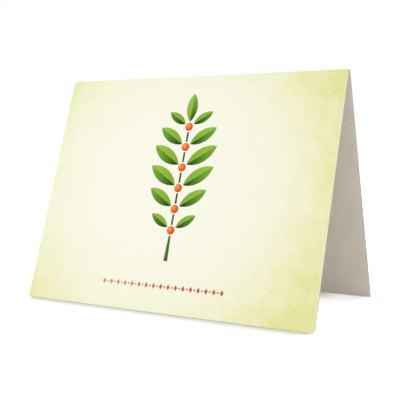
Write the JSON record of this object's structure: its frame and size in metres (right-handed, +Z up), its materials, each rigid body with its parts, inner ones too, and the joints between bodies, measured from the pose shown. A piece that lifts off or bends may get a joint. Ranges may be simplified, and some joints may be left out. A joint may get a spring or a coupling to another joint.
{
  "type": "greeting card",
  "caption": "Tent-fold greeting card of heavy board that stands on its cut edges, its front printed with a pale wash, a leaf sprig and a row of lozenges.",
  "frame": {"origin": "on the table, midway between the cut edges that the card stands on, at the middle of its width", "axes": "+X along the fold to the reader's right, -Y out of the printed front, +Z up"},
  "size_m": [0.1396, 0.0756, 0.1012],
  "materials": {
    "board": "uncoated warm white card board",
    "wash_ink": "pale yellow-green printed wash with a satin coat",
    "light_green_ink": "printed, satin",
    "dark_green_ink": "printed, satin",
    "stem_ink": "printed, satin",
    "orange_ink": "printed, satin",
    "red_ink": "printed, satin"
  },
  "bodies": {
    "root": {"card": "board", "ground_wash": "wash_ink", "leaf_light": "light_green_ink", "leaf_shade": "dark_green_ink", "stem": "stem_ink", "berries": "orange_ink", "rule": "red_ink"}
  },
  "joints": []
}
